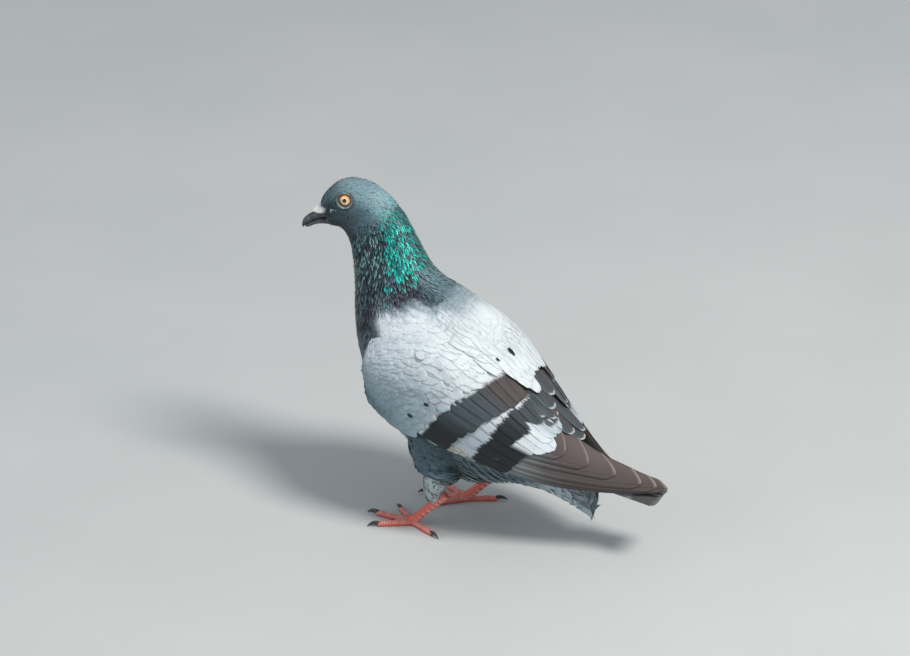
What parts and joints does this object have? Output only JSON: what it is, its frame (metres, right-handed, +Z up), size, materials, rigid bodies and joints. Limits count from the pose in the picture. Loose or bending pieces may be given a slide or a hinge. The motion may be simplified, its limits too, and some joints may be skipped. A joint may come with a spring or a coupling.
{
  "type": "feral pigeon model",
  "caption": "Life-size still model of a standing feral pigeon, head turned slightly, wings folded; a display piece that stands on its own toes",
  "frame": {"origin": "on the floor, under the middle of the bird's bounding box", "axes": "+Z up; the bird faces -Y, so +Y runs from bill to tail; +X is the bird's left side"},
  "size_m": [0.0938, 0.2458, 0.2206],
  "materials": {
    "slate_plumage": "matte overlapping feathers, slate blue-grey on head, breast and belly, paler on the back",
    "neck_plumage": "dark feathers with a green and teal sheen",
    "wing_plumage": "pale blue-grey coverts, two dark bars, brown-grey flight feathers",
    "tail_plumage": "slate grey feathers with a dark end band",
    "bill_horn": "dark horn, satin",
    "cere_skin": "chalky white bare skin",
    "eye_amber": "glossy orange iris with a black pupil",
    "leg_skin": "coral red scaled skin",
    "claw_horn": "dark horn, satin"
  },
  "bodies": {
    "root": {"head": "slate_plumage", "trunk": "slate_plumage", "thigh_left": "slate_plumage", "thigh_right": "slate_plumage", "neck": "neck_plumage", "wing_left": "wing_plumage", "wing_right": "wing_plumage", "tail": "tail_plumage", "bill_upper": "bill_horn", "bill_lower": "bill_horn", "cere": "cere_skin", "eye_ring_left": "cere_skin", "eye_ring_right": "cere_skin", "eye_left": "eye_amber", "eye_right": "eye_amber", "tarsus_left": "leg_skin", "tarsus_right": "leg_skin", "hallux_left": "leg_skin", "inner_toe_left": "leg_skin", "middle_toe_left": "leg_skin", "outer_toe_left": "leg_skin", "hallux_right": "leg_skin", "inner_toe_right": "leg_skin", "middle_toe_right": "leg_skin", "outer_toe_right": "leg_skin", "claw_hallux_left": "claw_horn", "claw_inner_toe_left": "claw_horn", "claw_middle_toe_left": "claw_horn", "claw_outer_toe_left": "claw_horn", "claw_hallux_right": "claw_horn", "claw_inner_toe_right": "claw_horn", "claw_middle_toe_right": "claw_horn", "claw_outer_toe_right": "claw_horn"}
  },
  "joints": []
}
